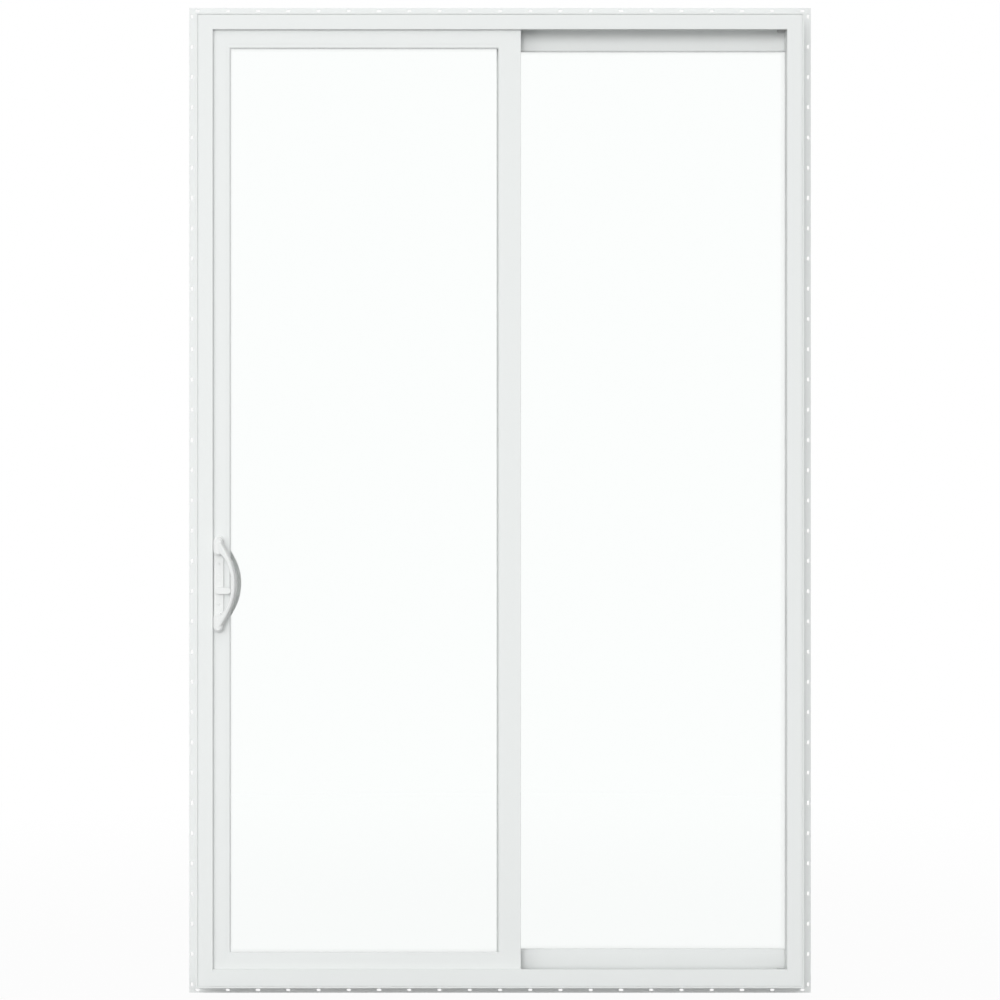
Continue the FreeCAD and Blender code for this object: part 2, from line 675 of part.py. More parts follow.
def build_interlock():
    start = "Sizes.hook_end_gap"
    stop = "(Sizes.frame_height - Sizes.hook_end_gap)"
    leg = "Sizes.hook_leg_x"
    tip_front = f"({SASH_BACK} + Sizes.hook_clearance)"
    tip_back = f"({tip_front} + Sizes.hook_wall)"
    leg_back = f"({leg} + Sizes.hook_wall)"
    tip_end = f"({leg_back} + Sizes.hook_reach)"
    body = new_body("fixed_interlock_hook")
    corners = [(leg, FIXED_FRONT), (leg, tip_front), (tip_end, tip_front), (tip_end, tip_back),
               (leg_back, tip_back), (leg_back, FIXED_FRONT)]
    plan_pad(body, "hook", corners, start, stop)
    parts.append(body)
    other_leg = f"({tip_end} + Sizes.hook_clearance)"
    other_back = f"({other_leg} + Sizes.hook_wall)"
    other_end = f"({other_leg} - Sizes.hook_reach)"
    high = f"({FIXED_FRONT} - Sizes.hook_clearance)"
    low = f"({high} - Sizes.hook_wall)"
    body = new_body("sliding_interlock_hook")
    corners = [(other_back, SASH_BACK), (other_back, high), (other_end, high), (other_end, low),
               (other_leg, low), (other_leg, SASH_BACK)]
    plan_pad(body, "hook", corners, start, stop)
    parts.append(body)


# Rollers and their rail

RAIL_Y = f"(({SASH_FRONT} + {SASH_BACK}) / 2)"
RAIL_TOP = "(Sizes.frame_base + Sizes.roller_rail_height)"
WHEEL_Z = f"({RAIL_TOP} + Sizes.wheel_running_gap + Sizes.wheel_radius - Sizes.wheel_groove)"
WHEEL_X = (inset(SASH_BOX, "left", "Sizes.wheel_end_distance"),
           inset(SASH_BOX, "right", "Sizes.wheel_end_distance"))


def build_roller_rail():
    """Rail with a flat foot and a round-topped web, snapped onto the sill."""
    body = new_body("roller_rail")
    foot_front, foot_back = around(RAIL_Y, "Sizes.roller_rail_width")
    web_front, web_back = around(RAIL_Y, "Sizes.roller_rail_web")
    floor, foot_top = "Sizes.frame_base", "(Sizes.frame_base + Sizes.roller_rail_foot)"
    shoulder = f"({RAIL_TOP} - Sizes.roller_rail_web / 4)"
    top_front, top_back = around(RAIL_Y, "(Sizes.roller_rail_web / 2)")
    corners = [(foot_front, floor), (foot_back, floor), (foot_back, foot_top), (web_back, foot_top),
               (web_back, shoulder), (top_back, RAIL_TOP), (top_front, RAIL_TOP), (web_front, shoulder),
               (web_front, foot_top), (foot_front, foot_top)]
    section_pad(body, "rail", corners, inset(FRAME_BOX, "left", "Sizes.frame_base"),
                inset(FRAME_BOX, "right", "Sizes.frame_base"))
    parts.append(body)


def cut_roller_pockets(body):
    """Pockets in the bottom rail that hold the roller housings."""
    front, back = around(RAIL_Y, "Sizes.roller_box_width")
    ceiling = inset(SASH_BOX, "bottom", "Sizes.roller_box_height")
    sketch = new_sketch(body, "roller_pocket_outline", "XY_Plane", ceiling)
    for x in WHEEL_X:
        left, right = around(x, "Sizes.roller_box_length")
        add_outline(sketch, rectangle(left, right, front, back))
    pocket(body, sketch, "roller_pocket")


def build_rollers():
    """A grooved wheel in a housing near each end of the bottom rail."""
    floor = SASH_BOX[2]
    top = inset(SASH_BOX, "bottom", "Sizes.roller_box_height")
    front, back = around(RAIL_Y, "Sizes.roller_box_width")
    wall = "Sizes.roller_box_wall"
    inner_front, inner_back = f"({front} + {wall})", f"({back} - {wall})"
    inner_top = f"({top} - {wall})"
    housings = new_body("roller_housings")
    wheels = new_body("roller_wheels")
    for side, x in zip(("left", "right"), WHEEL_X):
        left, right = around(x, "Sizes.roller_box_length")
        corners = [(front, floor), (inner_front, floor), (inner_front, inner_top), (inner_back, inner_top),
                   (inner_back, floor), (back, floor), (back, top), (front, top)]
        section_pad(housings, f"housing_{side}", corners, left, right)
        round_slab(housings, f"axle_{side}", x, WHEEL_Z, "Sizes.wheel_axle_radius", front, back)
        sketch = new_sketch(wheels, f"wheel_section_{side}", "YZ_Plane", x)
        edge_front, edge_back = around(RAIL_Y, "Sizes.wheel_width")
        groove_front, groove_back = around(RAIL_Y, "Sizes.wheel_groove_width")
        bore = f"({WHEEL_Z} + Sizes.wheel_axle_radius + Sizes.wheel_running_gap)"
        rim = f"({WHEEL_Z} + Sizes.wheel_radius)"
        groove = f"({rim} - Sizes.wheel_groove)"
        add_outline(sketch, [(edge_front, bore), (edge_back, bore), (edge_back, rim), (groove_back, rim),
                             (groove_back, groove), (groove_front, groove), (groove_front, rim),
                             (edge_front, rim)])
        ends = [FreeCAD.Vector(number(edge), number(WHEEL_Z), 0) for edge in (edge_front, edge_back)]
        axis_line = sketch.addGeometry(Part.LineSegment(*ends), True)
        hold_point(sketch, axis_line, 1, edge_front, WHEEL_Z)
        hold_point(sketch, axis_line, 2, edge_back, WHEEL_Z)
        turned = wheels.newObject("PartDesign::Revolution", f"wheel_{side}")
        turned.Profile = sketch
        turned.ReferenceAxis = (sketch, ["Axis0"])
        turned.Angle = FULL_TURN
        wheels.Tip = turned
    parts.append(housings)
    parts.append(wheels)


# Frame fittings: cover of the empty track, bumpers and pile seal

def build_frame_fittings():
    body = new_body("jamb_cover_right")
    left, right = inset(FRAME_BOX, "right", "Sizes.frame_face"), inset(FRAME_BOX, "right", "Sizes.frame_base")
    cover_back = f"({FIXED_FRONT} - Sizes.retaining_leg)"
    plan_pad(body, "cover", rectangle(left, right, LEG_BACK, cover_back),
             inset(FRAME_BOX, "bottom", "Sizes.frame_base"), inset(FRAME_BOX, "top", "Sizes.frame_base"))
    cut = new_sketch(body, "rail_notch_outline", "YZ_Plane", inset(FRAME_BOX, "right", "0"))
    notch_front, notch_back = around(RAIL_Y, "(Sizes.roller_rail_width + Sizes.notch_play)")
    notch_top = f"({RAIL_TOP} + Sizes.notch_play)"
    add_outline(cut, rectangle(notch_front, notch_back, "Sizes.frame_base", notch_top))
    pocket(body, cut, "rail_notch")
    parts.append(body)

    body = new_body("panel_bumper")
    front, back = around(RAIL_Y, "Sizes.bumper_width")
    face = inset(FRAME_BOX, "right", "Sizes.frame_face + Sizes.bumper_thickness")
    for end in ("bottom", "top"):
        low, high = around(inset(FRAME_BOX, end, "Sizes.bumper_place"), "Sizes.bumper_length")
        plan_pad(body, f"bumper_{end}", rectangle(face, left, front, back), low, high)
    parts.append(body)

    body = new_body("frame_pile_seal")
    right_end = inset(FRAME_BOX, "right", "Sizes.frame_face")
    far = f"({SASH_FRONT} - Sizes.seal_running_gap)"
    inner, outer = {}, {}
    for side in ("left", "bottom", "top"):
        inner[side] = inset(FRAME_BOX, side, f"{FACES[side]} - Sizes.seal_cover")
        outer[side] = inset(FRAME_BOX, side, f"{FACES[side]} - Sizes.seal_cover - Sizes.seal_width")
    corners = [(right_end, outer["bottom"]), (outer["left"], outer["bottom"]), (outer["left"], outer["top"]),
               (right_end, outer["top"]), (right_end, inner["top"]), (inner["left"], inner["top"]),
               (inner["left"], inner["bottom"]), (right_end, inner["bottom"])]
    wall_slab(body, "seal", corners, LEG_BACK, far)
    parts.append(body)


# Handle set and lock

PLATE_LEFT = inset(SASH_BOX, "left", "Sizes.plate_inset")
PLATE_X = f"({PLATE_LEFT} + Sizes.plate_width / 2)"
PLATE_FRONT = f"({SASH_FRONT} - Sizes.plate_thickness)"
HANDLE_Z = "Sizes.handle_height"
LATCH_Z = f"({HANDLE_Z} - Sizes.latch_drop)"
PULL_FACE = f"({SASH_BACK} + Sizes.plate_thickness)"


def cut_latch_bore(body, front, depth):
    sketch = new_sketch(body, "latch_bore_outline", "XZ_Plane", f"(-({front}))")
    add_circle(sketch, PLATE_X, LATCH_Z, "(Sizes.latch_spindle_side * sqrt(2) / 2 + Sizes.latch_clearance)")
    pocket(body, sketch, "latch_bore", depth)


def add_bowed_grip(body, face, outwards, tilt):
    """Two feet on the face of a plate and the bowed grip between them. The bow swings
    sideways past the stile and leans away from the plate."""
    foot_face = f"({face} {outwards} Sizes.foot_height)"
    near, far = (foot_face, face) if outwards == "-" else (face, foot_face)
    feet = [(PLATE_X, z) for z in around(HANDLE_Z, "Sizes.foot_spacing")]
    slot_slab(body, "feet", feet, "Sizes.foot_length", "Sizes.foot_width", near, far)
    bevel(body, "foot_bevel", foot_face, "Sizes.foot_bevel")
    waist_depth = "(Sizes.grip_depth * Sizes.grip_waist_growth)"
    flare_depth = "(Sizes.grip_depth * Sizes.grip_flare_growth)"
    stations = [("0", "Sizes.grip_width", "Sizes.grip_depth"),
                ("Sizes.grip_waist_share", "Sizes.grip_width", waist_depth),
                ("Sizes.grip_flare_share", "Sizes.grip_width", flare_depth),
                ("1", "Sizes.grip_end_width", "Sizes.grip_end_depth")]
    arched_bar(body, "arch", (PLATE_X, f"({face} {outwards} Sizes.grip_start)"), HANDLE_Z, tilt,
               "Sizes.grip_rise", "(Sizes.foot_spacing / 2)", stations)


def build_handle():
    body = new_body("handle_plate")
    slot_slab(body, "plate", [(PLATE_X, HANDLE_Z)], "Sizes.plate_length", "Sizes.plate_width",
              PLATE_FRONT, SASH_FRONT)
    bevel(body, "edge_bevel", PLATE_FRONT, "Sizes.plate_bevel")
    cut_latch_bore(body, PLATE_FRONT, "Sizes.plate_thickness")
    parts.append(body)

    body = new_body("handle_grip")
    add_bowed_grip(body, PLATE_FRONT, "-", "Sizes.grip_tilt")
    parts.append(body)


def build_thumb_latch():
    """Thumb turn: a lever with a round tab, on a hub and a spindle of its own in the stile."""
    body = new_body("thumb_latch")
    hub_back = f"({PLATE_FRONT} - Sizes.latch_clearance)"
    hub_front = f"({hub_back} - Sizes.latch_hub_depth)"
    lever_back = f"({hub_front} + Sizes.latch_lever_thickness)"
    spindle_end = f"({SASH_FRONT} + Sizes.latch_spindle_depth)"
    sketch = new_sketch(body, "lever_outline", "XZ_Plane", f"(-({lever_back}))")
    middle = f"({PLATE_X} + Sizes.latch_reach / 2)"
    length = "(Sizes.latch_reach + 2 * Sizes.latch_radius)"
    add_slot(sketch, middle, LATCH_Z, length, "(2 * Sizes.latch_radius)", False)
    pad(body, sketch, "lever", "Sizes.latch_lever_thickness")
    bevel(body, "edge_bevel", hub_front, "Sizes.latch_bevel")
    round_slab(body, "hub", PLATE_X, LATCH_Z, "Sizes.latch_radius", lever_back, hub_back)
    left, right = around(PLATE_X, "Sizes.latch_spindle_side")
    bottom, top = around(LATCH_Z, "Sizes.latch_spindle_side")
    wall_slab(body, "spindle", rectangle(left, right, bottom, top), lever_back, spindle_end)
    parts.append(body)


def build_outside_pull():
    """Outside pull: a plate on the back of the lock stile, a key cylinder and a bowed grip
    like the one in the room."""
    body = new_body("outside_pull")
    add_bowed_grip(body, PULL_FACE, "+", "(-Sizes.grip_tilt)")
    slot_slab(body, "plate", [(PLATE_X, HANDLE_Z)], "Sizes.plate_length", "Sizes.plate_width",
              SASH_BACK, PULL_FACE)
    cylinder_face = f"({PULL_FACE} + Sizes.cylinder_height)"
    round_slab(body, "cylinder", PLATE_X, HANDLE_Z, "Sizes.cylinder_radius", PULL_FACE, cylinder_face)
    keyway = new_sketch(body, "keyway_outline", "XZ_Plane", f"(-({cylinder_face} - Sizes.keyway_depth))")
    left, right = around(PLATE_X, "Sizes.keyway_width")
    bottom, top = around(HANDLE_Z, "Sizes.keyway_length")
    add_outline(keyway, rectangle(left, right, bottom, top))
    pocket(body, keyway, "keyway")
    parts.append(body)


def edge_plate(label, edge, thickness, length, width):
    """Upright round-ended plate across the wall, with a hole for the hook bolt."""
    body = new_body(label)
    sketch = new_sketch(body, "plate_outline", "YZ_Plane", edge)
    add_slot(sketch, RAIL_Y, HANDLE_Z, length, width, True)
    near, far = around(RAIL_Y, "Sizes.bolt_hole_width")
    low, high = around(HANDLE_Z, "Sizes.bolt_hole_length")
    add_outline(sketch, rectangle(near, far, low, high))
    pad(body, sketch, "plate", thickness)
    parts.append(body)


def build_lock():
    edge_plate("lock_faceplate", f"({SASH_BOX[0]} - Sizes.faceplate_thickness)", "Sizes.faceplate_thickness",
               "Sizes.faceplate_length", "Sizes.faceplate_width")
    edge_plate("lock_keeper", inset(FRAME_BOX, "left", "Sizes.frame_base"), "Sizes.keeper_thickness",
               "Sizes.keeper_length", "Sizes.keeper_width")


parts = []
build_frame()
for side in SIDES:
    build_fin(side)
build_roller_rail()
build_frame_fittings()
build_fixed_panel()
build_sliding_panel()
build_interlock()
build_rollers()
build_handle()
build_thumb_latch()
build_outside_pull()
build_lock()

doc.recompute()
for item in doc.Objects:
    if "Invalid" in item.State or "Error" in item.State:
        raise RuntimeError(f"{item.Label} failed: {item.State}")
for body in parts:
    if body.Shape.isNull() or not body.Shape.isValid():
        raise RuntimeError(f"{body.Label} has no valid shape")

os.makedirs("parts", exist_ok=True)
for body in parts:
    body.Shape.exportStep(f"parts/{body.Label}.step")
    print(body.Label, len(body.Shape.Solids), round(body.Shape.Volume / 1000, 1))
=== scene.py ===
import json
import math

import bpy
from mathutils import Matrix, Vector


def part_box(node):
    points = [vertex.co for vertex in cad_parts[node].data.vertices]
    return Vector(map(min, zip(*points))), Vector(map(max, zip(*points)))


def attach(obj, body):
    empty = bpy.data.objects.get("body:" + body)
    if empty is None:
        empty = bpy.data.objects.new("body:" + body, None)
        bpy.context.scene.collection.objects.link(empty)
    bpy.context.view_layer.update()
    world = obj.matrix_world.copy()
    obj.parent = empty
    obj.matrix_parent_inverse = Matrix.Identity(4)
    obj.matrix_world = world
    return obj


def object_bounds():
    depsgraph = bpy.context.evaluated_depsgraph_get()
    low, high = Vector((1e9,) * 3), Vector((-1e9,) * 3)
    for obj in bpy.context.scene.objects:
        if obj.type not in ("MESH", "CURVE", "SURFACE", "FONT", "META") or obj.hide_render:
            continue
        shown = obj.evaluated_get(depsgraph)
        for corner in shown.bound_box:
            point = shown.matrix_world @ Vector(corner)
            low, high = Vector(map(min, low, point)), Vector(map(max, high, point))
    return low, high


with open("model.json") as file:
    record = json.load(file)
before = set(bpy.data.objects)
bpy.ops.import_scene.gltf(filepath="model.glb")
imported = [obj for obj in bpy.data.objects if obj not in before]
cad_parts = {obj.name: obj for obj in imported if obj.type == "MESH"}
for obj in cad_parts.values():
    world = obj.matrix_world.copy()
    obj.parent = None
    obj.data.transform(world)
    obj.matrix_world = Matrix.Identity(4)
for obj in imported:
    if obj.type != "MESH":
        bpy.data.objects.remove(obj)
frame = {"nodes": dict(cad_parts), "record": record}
CAD_BOX = [list(corner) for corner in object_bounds()]

# The door's own places, read from the frame

FRONT_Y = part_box("frame_head")[0][1]
FRAME_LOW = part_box("frame_sill")[0][2]
FRAME_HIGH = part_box("frame_head")[1][2]
MIDDLE_HEIGHT = (FRAME_LOW + FRAME_HIGH) / 2
FLOOR_HEIGHT = CAD_BOX[0][2]

# Camera, as in the photograph: level with the middle of the door and square to it

CAMERA_DISTANCE = 6.4
CAMERA_RISE = 0.0009
FRAME_WIDTH_SEEN = 2.485
SENSOR = 36.0
CLIP_END = 100.0

# Colours, linear

VINYL_WHITE = (0.846, 0.862, 0.854)
# the fins' white vinyl is painted a little darker than the frame's, as painted shade that sets how bright
# the fins render
FIN_SHADED_WHITE = (0.83, 0.845, 0.838)
GLASS_TINT = (0.985, 0.995, 0.99)
LAMP_LIGHT_PASSED = (0.95, 0.955, 0.95)
SPACER_GREY = (0.62, 0.63, 0.64)
METAL_GREY = (0.66, 0.67, 0.68)
NYLON = (0.72, 0.72, 0.69)
RUBBER_GREY = (0.45, 0.45, 0.45)
PILE_GREY = (0.66, 0.67, 0.67)
HANDLE_WHITE = (0.86, 0.87, 0.862)
PLAIN_WHITE = (1.0, 1.0, 1.0, 1.0)
SKY_LIGHT = (0.98, 1.0, 1.0, 1.0)

# Finishes: relief in metres

GLASS_INDEX = 1.5
NOISE_RANGE = (0.3, 0.7)
VINYL_ROUGHNESS = 0.34
FIN_ROUGHNESS = 0.45
LINE_RELIEF = 0.0004
GRAIN_RELIEF = 0.0003

# Screw heads, lengths in metres

DOMED_SCREW = {"Head Width": 0.0078, "Head Rise": 0.0017, "Recess Width": 0.0011,
               "Recess Reach": 0.0044, "Recess Depth": 0.0008}
FLUSH_SCREW = {**DOMED_SCREW, "Head Width": 0.0074, "Head Rise": 0.0006, "Recess Depth": 0.00045}
HANDLE_SCREW_PITCH = 0.100
PLATE_SCREW_INSET = 0.0095
SCREW_SUNK = 0.0001
SCREW_SEED = 7
HEAD_SIDES = 28
HEAD_RINGS = 6
DOME_TOP_SHARE = 0.1
SHARP_EDGE = math.radians(40)

# Light: broad key from the upper left of the camera, soft top light, weak left fill, soft light on the
# outside of the door, pale surroundings. Azimuths and elevations are degrees from the camera's line.

WORLD_STRENGTH = 0.55
LAMP_DISTANCE = 8.0
KEY_AZIMUTH = 7.0
KEY_ELEVATION = 12.5
KEY_STRENGTH = 1.235
KEY_SOFTNESS = 30.0
TOP_AZIMUTH = 0.0
TOP_ELEVATION = 55.0
TOP_STRENGTH = 0.28
TOP_SOFTNESS = 40.0
BACK_AZIMUTH = 168.0
BACK_ELEVATION = 32.0
BACK_STRENGTH = 0.9
BACK_SOFTNESS = 40.0
FILL_PLACE = (-3.0, -3.5, 1.2)
FILL_SIZE = 1.5
FILL_POWER = 19.0
FLOOR_HALF_WIDTH = 14.0
FLOOR_COLOUR = 0.45
FLOOR_FADE_START = 1.0
FLOOR_FADE_END = 4.5
FLOOR_WHITE_NEAR = 0.96


# Nodes used in several trees

def calculate(tree, operation, first, second):
    """Math node on two sockets or numbers. Returns its result."""
    node = tree.nodes.new("ShaderNodeMath")
    node.operation = operation
    for place, value in enumerate((first, second)):
        if isinstance(value, (int, float)):
            node.inputs[place].default_value = value
        else:
            tree.links.new(value, node.inputs[place])
    return node.outputs[0]


def seen_rays(tree):
    """1 where the camera sees the surface, also through glass or in gloss, 0 where it only lights."""
    path = tree.nodes.new("ShaderNodeLightPath")
    seen = calculate(tree, "MAXIMUM", path.outputs["Is Camera Ray"], path.outputs["Is Glossy Ray"])
    return calculate(tree, "MAXIMUM", seen, path.outputs["Is Transmission Ray"])


def mix_shaders(tree, share, first, second, output):
    mix = tree.nodes.new("ShaderNodeMixShader")
    tree.links.new(share, mix.inputs["Fac"])
    tree.links.new(first, mix.inputs[1])
    tree.links.new(second, mix.inputs[2])
    tree.links.new(mix.outputs[0], output.inputs["Surface"])


# Node groups: effects that several finishes share

def new_group(name, inputs, outputs):
    """Node group with the given float inputs and (name, socket type) outputs."""
    group = bpy.data.node_groups.new(name, "ShaderNodeTree")
    for label, value in inputs:
        socket = group.interface.new_socket(label, in_out="INPUT", socket_type="NodeSocketFloat")
        socket.default_value = value
    for label, kind in outputs:
        group.interface.new_socket(label, in_out="OUTPUT", socket_type=kind)
    return group, group.nodes.new("NodeGroupInput"), group.nodes.new("NodeGroupOutput")


def extrusion_group():
    """Fine lines that a die leaves along a length of extrusion, and a faint mottle across it."""
    group, given, result = new_group(
        "ExtrusionLines",
        [("Line Scale", 900.0), ("Line Height", 0.12), ("Mottle Scale", 9.0), ("Upright", 1.0)],
        [("Height", "NodeSocketFloat"), ("Mottle", "NodeSocketFloat")])
    nodes, links = group.nodes, group.links
    place = nodes.new("ShaderNodeTexCoord")
    split = nodes.new("ShaderNodeSeparateXYZ")
    links.new(place.outputs["Object"], split.inputs[0])
    # across an upright length the lines vary with X and Y, across a level one with Z and Y
    across = nodes.new("ShaderNodeMix")
    across.data_type = "FLOAT"
    links.new(given.outputs["Upright"], across.inputs["Factor"])
    links.new(split.outputs["Z"], across.inputs["A"])
    links.new(split.outputs["X"], across.inputs["B"])
    flat = nodes.new("ShaderNodeCombineXYZ")
    links.new(across.outputs["Result"], flat.inputs["X"])
    links.new(split.outputs["Y"], flat.inputs["Y"])
    lines = nodes.new("ShaderNodeTexNoise")
    lines.inputs["Detail"].default_value = 2.0
    links.new(flat.outputs[0], lines.inputs["Vector"])
    links.new(given.outputs["Line Scale"], lines.inputs["Scale"])
    height = calculate(group, "MULTIPLY", lines.outputs["Fac"], given.outputs["Line Height"])
    mottle = nodes.new("ShaderNodeTexNoise")
    mottle.inputs["Detail"].default_value = 4.0
    links.new(place.outputs["Object"], mottle.inputs["Vector"])
    links.new(given.outputs["Mottle Scale"], mottle.inputs["Scale"])
    links.new(height, result.inputs["Height"])
    links.new(mottle.outputs["Fac"], result.inputs["Mottle"])
    return group


def grain_group():
    """Fine moulded or cast grain in all directions."""
    group, given, result = new_group(
        "FineGrain",
        [("Grain Scale", 1500.0), ("Grain Height", 0.2)],
        [("Height", "NodeSocketFloat"), ("Speckle", "NodeSocketFloat")])
    nodes, links = group.nodes, group.links
    place = nodes.new("ShaderNodeTexCoord")
    grain = nodes.new("ShaderNodeTexNoise")
    grain.inputs["Detail"].default_value = 3.0
    links.new(place.outputs["Object"], grain.inputs["Vector"])
    links.new(given.outputs["Grain Scale"], grain.inputs["Scale"])
    height = calculate(group, "MULTIPLY", grain.outputs["Fac"], given.outputs["Grain Height"])
    links.new(height, result.inputs["Height"])
    links.new(grain.outputs["Fac"], result.inputs["Speckle"])
    return group


EXTRUSION = extrusion_group()
GRAIN = grain_group()


# Materials

def new_material(name, colour, roughness, metallic=0.0):
    """Material with one Principled shader. Returns it with its tree and shader."""
    material = bpy.data.materials.new(name)
    material.use_nodes = True
    tree = material.node_tree
    shader = tree.nodes["Principled BSDF"]
    shader.inputs["Base Color"].default_value = (*colour, 1.0)
    shader.inputs["Roughness"].default_value = roughness
    shader.inputs["Metallic"].default_value = metallic
    material.diffuse_color = (*colour, 1.0)
    return material, tree, shader


def place_group(tree, group, **values):
    node = tree.nodes.new("ShaderNodeGroup")
    node.node_tree = group
    for label, value in values.items():
        node.inputs[label.replace("_", " ")].default_value = value
    return node


def spread(tree, source, low, high):
    """Maps the range that a noise covers to another range."""
    node = tree.nodes.new("ShaderNodeMapRange")
    node.inputs["From Min"].default_value, node.inputs["From Max"].default_value = NOISE_RANGE
    node.inputs["To Min"].default_value = low
    node.inputs["To Max"].default_value = high
    tree.links.new(source, node.inputs["Value"])
    return node.outputs["Result"]


def tone(tree, source, colour, change):
    """Base colour that varies a little with a mask."""
    mix = tree.nodes.new("ShaderNodeMix")
    mix.data_type = "RGBA"
    mix.inputs["A"].default_value = (*[c * (1 - change) for c in colour], 1.0)
    mix.inputs["B"].default_value = (*colour, 1.0)
    tree.links.new(source, mix.inputs["Factor"])
    return mix.outputs["Result"]


def add_bump(tree, shader, height, strength, distance):
    bump = tree.nodes.new("ShaderNodeBump")
    bump.inputs["Strength"].default_value = strength
    bump.inputs["Distance"].default_value = distance
    tree.links.new(height, bump.inputs["Height"])
    tree.links.new(bump.outputs["Normal"], shader.inputs["Normal"])


def extruded_vinyl(name, colour, upright, roughness):
    material, tree, shader = new_material(name, colour, roughness)
    lines = place_group(tree, EXTRUSION, Upright=1.0 if upright else 0.0)
    tree.links.new(spread(tree, lines.outputs["Mottle"], roughness - 0.04, roughness + 0.06),
                   shader.inputs["Roughness"])
    tree.links.new(tone(tree, lines.outputs["Mottle"], colour, change=0.012), shader.inputs["Base Color"])
    add_bump(tree, shader, lines.outputs["Height"], strength=0.25, distance=LINE_RELIEF)
    return material


def grained(name, colour, roughness, scale, metallic=0.0, strength=0.3):
    material, tree, shader = new_material(name, colour, roughness, metallic)
    grain = place_group(tree, GRAIN, Grain_Scale=scale)
    tree.links.new(spread(tree, grain.outputs["Speckle"], roughness - 0.05, roughness + 0.05),
                   shader.inputs["Roughness"])
    tree.links.new(tone(tree, grain.outputs["Speckle"], colour, change=0.03), shader.inputs["Base Color"])
    add_bump(tree, shader, grain.outputs["Height"], strength, distance=GRAIN_RELIEF)
    return material


def clear_glass():
    """Coated glass that lets most of the lamps' light through each of its faces."""
    material, tree, shader = new_material("clear_glass", GLASS_TINT, 0.0)
    shader.inputs["Transmission Weight"].default_value = 1.0
    shader.inputs["IOR"].default_value = GLASS_INDEX
    path = tree.nodes.new("ShaderNodeLightPath")
    through = tree.nodes.new("ShaderNodeBsdfTransparent")
    through.inputs["Color"].default_value = (*LAMP_LIGHT_PASSED, 1.0)
    mix_shaders(tree, path.outputs["Is Shadow Ray"], shader.outputs[0], through.outputs[0],
                tree.nodes["Material Output"])
    return material


FINISHES = {
    "vinyl_upright": extruded_vinyl("white_vinyl_upright", VINYL_WHITE, True, VINYL_ROUGHNESS),
    "vinyl_level": extruded_vinyl("white_vinyl_level", VINYL_WHITE, False, VINYL_ROUGHNESS),
    # the fin finishes carry the fins' white with its painted shade
    "fin_upright": extruded_vinyl("fin_vinyl_upright", FIN_SHADED_WHITE, True, FIN_ROUGHNESS),
    "fin_level": extruded_vinyl("fin_vinyl_level", FIN_SHADED_WHITE, False, FIN_ROUGHNESS),
    "clear_glass": clear_glass(),
    "spacer_bar": grained("spacer_bar", SPACER_GREY, 0.38, 900.0, 1.0),
    "bare_metal": grained("satin_metal", METAL_GREY, 0.32, 700.0, 1.0),
    "roller_nylon": grained("roller_nylon", NYLON, 0.5, 1200.0),
    "soft_rubber": grained("soft_rubber", RUBBER_GREY, 0.75, 1500.0),
    "grey_pile": grained("grey_pile", PILE_GREY, 0.9, 2500.0, strength=0.8),
    "handle_paint": grained("handle_enamel", HANDLE_WHITE, 0.24, 260.0, strength=0.06),
}
LEVEL_WORDS = ("sill", "head", "rail", "bottom", "top")


def finish_for(node, slot):
    """The finish of a piece, from its slot in the record and the way its extrusion runs."""
    if slot in ("white_vinyl", "fin_vinyl"):
        level = any(word in node.split("_") for word in LEVEL_WORDS)
        kind = "vinyl" if slot == "white_vinyl" else "fin"
        return FINISHES[f"{kind}_level" if level else f"{kind}_upright"]
    return FINISHES[slot]


def dress_nodes():
    for row in frame["record"]["subparts"]:
        node = frame["nodes"][row["node"]]
        finish = finish_for(row["node"], row["material_slot"])
        if not node.material_slots:
            node.data.materials.append(finish)
        for slot in node.material_slots:
            slot.material = finish


# Screw heads

def combine(tree, x, y, z):
    node = tree.nodes.new("ShaderNodeCombineXYZ")
    for label, socket in (("X", x), ("Y", y), ("Z", z)):
        if socket is not None:
            tree.links.new(socket, node.inputs[label])
    return node.outputs[0]


